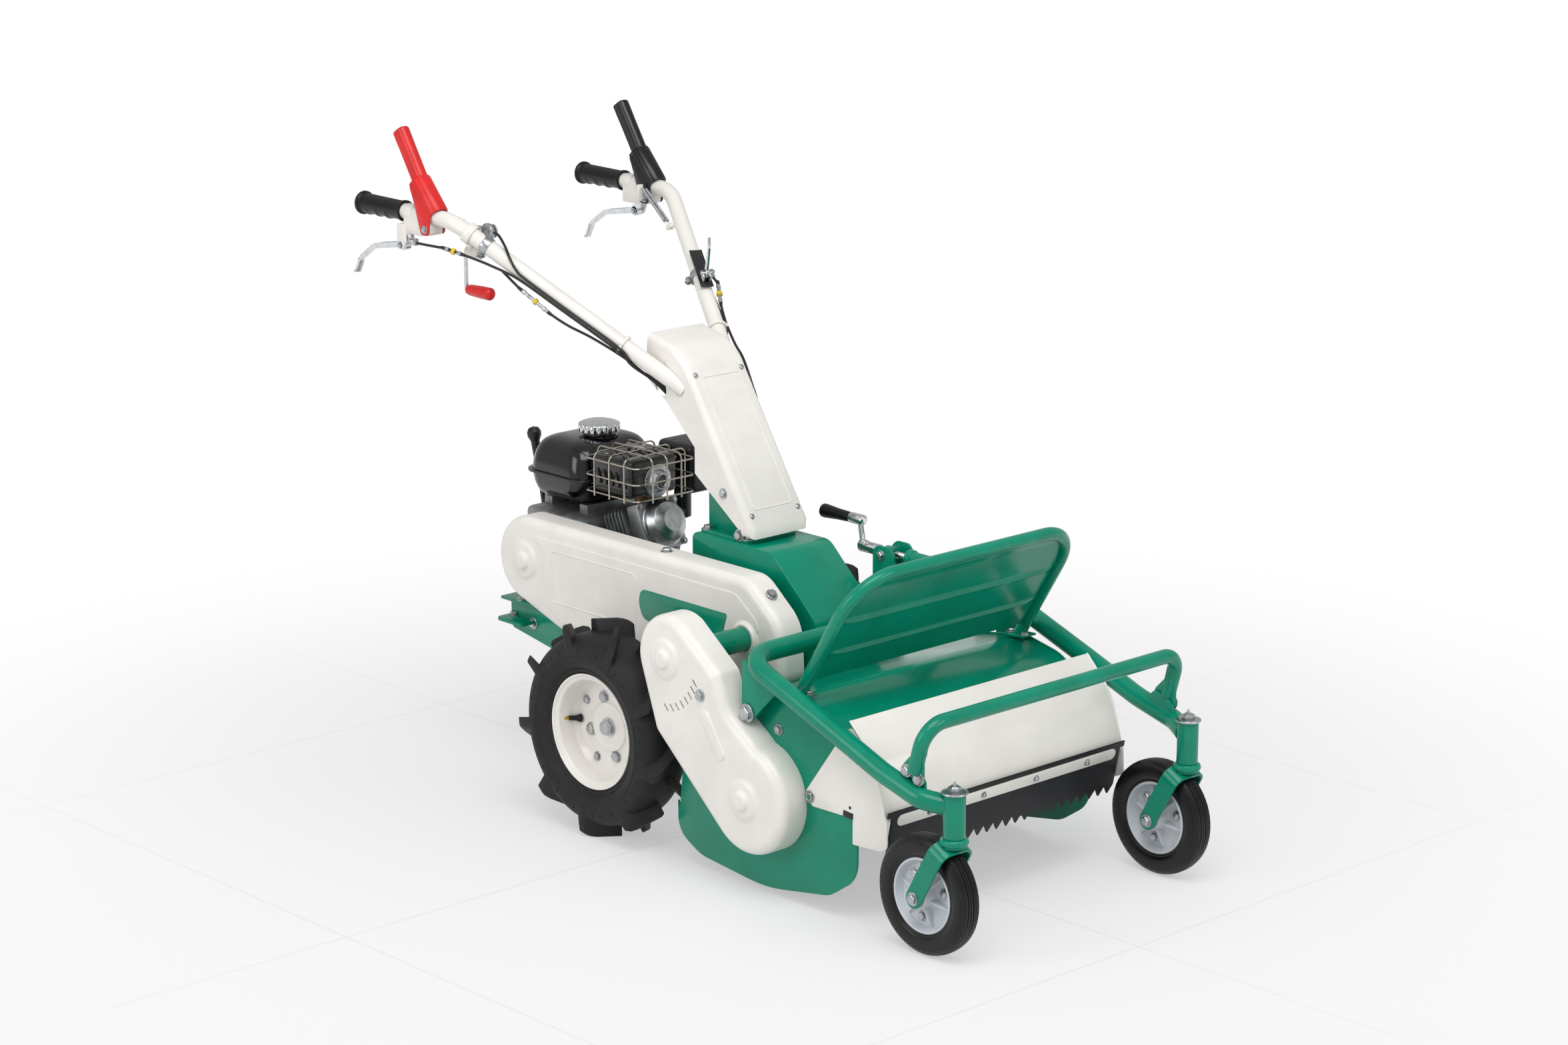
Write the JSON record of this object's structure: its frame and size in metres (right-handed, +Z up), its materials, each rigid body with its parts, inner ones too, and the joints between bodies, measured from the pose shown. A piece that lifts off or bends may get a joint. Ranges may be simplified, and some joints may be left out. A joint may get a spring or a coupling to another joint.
{
  "type": "hammer knife mower",
  "caption": "Walk-behind flail mower with lugged drive wheels, front casters on a lift arm, hinged front shield and an engine behind a mast with forked handles.",
  "frame": {"origin": "centre of the footprint of the bounding box, on the ground", "axes": "+Z up, -Y towards the machine's front, +X towards its left as its user stands"},
  "size_m": [0.669, 1.5825, 1.1824],
  "materials": {
    "green_paint": "gloss",
    "white_paint": "gloss",
    "red_plastic": "gloss",
    "tyre_rubber": "matte",
    "black_rubber": "matte",
    "black_plastic": "gloss",
    "black_paint": "gloss",
    "black_exhaust": "matte",
    "grey_plastic": "satin",
    "zinc_steel": "satin",
    "bright_steel": "polished",
    "cast_aluminium": "cast",
    "dark_steel": "satin"
  },
  "bodies": {
    "chassis": {"chassis_frame": "green_paint", "transmission_case": "cast_aluminium", "mast_frame": "green_paint", "mast_cover": "white_paint", "engine_block": "cast_aluminium", "fuel_tank": "black_plastic", "muffler": "black_exhaust", "muffler_guard": "zinc_steel", "air_cleaner": "black_plastic", "recoil_housing": "black_plastic", "long_belt_cover": "white_paint", "cross_tube": "green_paint", "rotor_belt_cover": "white_paint", "deck_housing": "green_paint", "guard_hoop": "green_paint", "long_belt": "black_rubber", "rotor_belt": "black_rubber", "height_bracket": "green_paint", "handlebar": "white_paint", "grip_right": "black_rubber", "grip_left": "black_rubber", "lever_bracket_right": "white_paint", "lever_bracket_left": "white_paint", "throttle_housing": "black_plastic", "lock_bracket": "white_paint", "brake_bracket": "zinc_steel", "right_cables": "black_rubber", "left_cables": "black_rubber", "lever_spring_inner": "zinc_steel", "lever_spring_outer": "zinc_steel"},
    "drive_wheel_right": {"drive_tyre_right": "tyre_rubber", "drive_rim_right": "white_paint"},
    "drive_wheel_left": {"drive_tyre_left": "tyre_rubber", "drive_rim_left": "white_paint"},
    "lift_arm": {"lift_arm": "green_paint", "push_bar": "green_paint"},
    "caster_fork_right": {"caster_fork_right": "green_paint"},
    "caster_wheel_right": {"caster_tyre_right": "tyre_rubber", "caster_rim_right": "grey_plastic"},
    "caster_fork_left": {"caster_fork_left": "green_paint"},
    "caster_wheel_left": {"caster_tyre_left": "tyre_rubber", "caster_rim_left": "grey_plastic"},
    "height_nut": {"height_nut": "green_paint"},
    "height_crank": {"height_crank": "bright_steel"},
    "front_shield": {"front_shield": "white_paint", "shield_flap": "black_rubber"},
    "rotor": {"knife_rotor": "dark_steel"},
    "jackshaft": {"jackshaft": "dark_steel"},
    "engine_pulley": {"engine_pulley": "dark_steel"},
    "blade_clutch_lever": {"blade_clutch_lever": "red_plastic"},
    "travel_clutch_lever": {"travel_clutch_lever": "black_paint"},
    "squeeze_lever_right": {"squeeze_lever_right": "bright_steel"},
    "squeeze_lever_left": {"squeeze_lever_left": "bright_steel"},
    "parking_brake_lever": {"parking_brake_lever": "zinc_steel"},
    "throttle_lever": {"throttle_lever": "zinc_steel"},
    "lock_crank": {"lock_crank": "bright_steel"},
    "shift_lever": {"shift_lever": "zinc_steel"},
    "fuel_cap": {"fuel_cap": "bright_steel"},
    "recoil_handle": {"recoil_handle": "black_plastic"}
  },
  "joints": [
    {"name": "drive_wheel_right_spin", "type": "hinge", "parent": "chassis", "child": "drive_wheel_right", "pos_m": [-0.2575, 0.1045, 0.191], "axis": [1, 0, 0], "continuous": true},
    {"name": "drive_wheel_left_spin", "type": "hinge", "parent": "chassis", "child": "drive_wheel_left", "pos_m": [0.2825, 0.1045, 0.191], "axis": [1, 0, 0], "continuous": true},
    {"name": "lift_arm_swing", "type": "hinge", "parent": "chassis", "child": "lift_arm", "pos_m": [0.0125, -0.2955, 0.316], "axis": [1, 0, 0], "range_deg": [0, 9.2]},
    {"name": "caster_right_swivel", "type": "hinge", "parent": "lift_arm", "child": "caster_fork_right", "pos_m": [-0.2655, -0.7445, 0.2075], "axis": [0, 0, 1], "continuous": true},
    {"name": "caster_right_roll", "type": "hinge", "parent": "caster_fork_right", "child": "caster_wheel_right", "pos_m": [-0.2655, -0.6905, 0.1], "axis": [1, 0, 0], "continuous": true},
    {"name": "caster_left_swivel", "type": "hinge", "parent": "lift_arm", "child": "caster_fork_left", "pos_m": [0.2905, -0.7445, 0.2075], "axis": [0, 0, 1], "continuous": true},
    {"name": "caster_left_roll", "type": "hinge", "parent": "caster_fork_left", "child": "caster_wheel_left", "pos_m": [0.2905, -0.6905, 0.1], "axis": [1, 0, 0], "continuous": true},
    {"name": "height_nut_pivot", "type": "hinge", "parent": "lift_arm", "child": "height_nut", "pos_m": [0.1525, -0.2885, 0.485], "axis": [1, 0, 0], "range_deg": [-9.2, 0]},
    {"name": "height_crank_turn", "type": "hinge", "parent": "chassis", "child": "height_crank", "pos_m": [0.1525, -0.1795, 0.485], "axis": [0, 1, 0], "range_deg": [0, 2429]},
    {"name": "front_shield_lift", "type": "hinge", "parent": "chassis", "child": "front_shield", "pos_m": [0.0125, -0.4215, 0.197], "axis": [-1, 0, 0], "range_deg": [0, 28]},
    {"name": "rotor_spin", "type": "hinge", "parent": "chassis", "child": "rotor", "pos_m": [0.0125, -0.3165, 0.176], "axis": [1, 0, 0], "continuous": true},
    {"name": "jackshaft_spin", "type": "hinge", "parent": "chassis", "child": "jackshaft", "pos_m": [-0.1875, -0.1235, 0.377], "axis": [1, 0, 0], "continuous": true},
    {"name": "engine_pulley_spin", "type": "hinge", "parent": "chassis", "child": "engine_pulley", "pos_m": [-0.1025, 0.4685, 0.4], "axis": [1, 0, 0], "continuous": true},
    {"name": "blade_clutch_press", "type": "hinge", "parent": "chassis", "child": "blade_clutch_lever", "pos_m": [-0.2448, 0.5795, 1.0065], "axis": [-1, 0, 0], "range_deg": [0, 31.5]},
    {"name": "travel_clutch_press", "type": "hinge", "parent": "chassis", "child": "travel_clutch_lever", "pos_m": [0.2698, 0.5795, 1.0065], "axis": [-1, 0, 0], "range_deg": [0, 31.5]},
    {"name": "squeeze_lever_right_pull", "type": "hinge", "parent": "chassis", "child": "squeeze_lever_right", "pos_m": [-0.2575, 0.6405, 0.972], "axis": [1, 0, 0], "range_deg": [0, 20], "stiffness_Nm_per_rad": 1.5, "springref_deg": -11.46},
    {"name": "squeeze_lever_left_pull", "type": "hinge", "parent": "chassis", "child": "squeeze_lever_left", "pos_m": [0.2825, 0.6405, 0.972], "axis": [1, 0, 0], "range_deg": [0, 20], "stiffness_Nm_per_rad": 1.5, "springref_deg": -11.46},
    {"name": "parking_brake_pull", "type": "hinge", "parent": "chassis", "child": "parking_brake_lever", "pos_m": [0.15583, 0.30078, 0.91345], "axis": [0.8932, -0.4497, 0], "range_deg": [0, 40]},
    {"name": "throttle_turn", "type": "hinge", "parent": "chassis", "child": "throttle_lever", "pos_m": [-0.1905, 0.4775, 1.008], "axis": [1, 0, 0], "range_deg": [0, 55]},
    {"name": "lock_crank_turn", "type": "hinge", "parent": "chassis", "child": "lock_crank", "pos_m": [-0.2055, 0.5105, 0.968], "axis": [0, 1, 0], "range_deg": [-70, 70]},
    {"name": "shift_lever_tilt", "type": "hinge", "parent": "chassis", "child": "shift_lever", "pos_m": [0.0325, 0.5905, 0.3015], "axis": [1, 0, 0], "range_deg": [-11, 11]},
    {"name": "fuel_cap_twist", "type": "hinge", "parent": "chassis", "child": "fuel_cap", "pos_m": [0.0425, 0.4705, 0.6133], "axis": [0, 0, 1], "range_deg": [0, 120]},
    {"name": "recoil_pull", "type": "slide", "parent": "chassis", "child": "recoil_handle", "axis": [0, 0.7659, 0.6429], "range_m": [0, 0.3], "stiffness_N_per_m": 20, "springref_m": -0.15}
  ],
  "couplings": [
    {"joint": "lift_arm_swing", "follows": "height_crank_turn", "ratio": 0.00377},
    {"joint": "height_nut_pivot", "follows": "height_crank_turn", "ratio": -0.00377},
    {"joint": "jackshaft_spin", "follows": "rotor_spin", "ratio": 1.3218},
    {"joint": "engine_pulley_spin", "follows": "rotor_spin", "ratio": 2.1269}
  ]
}
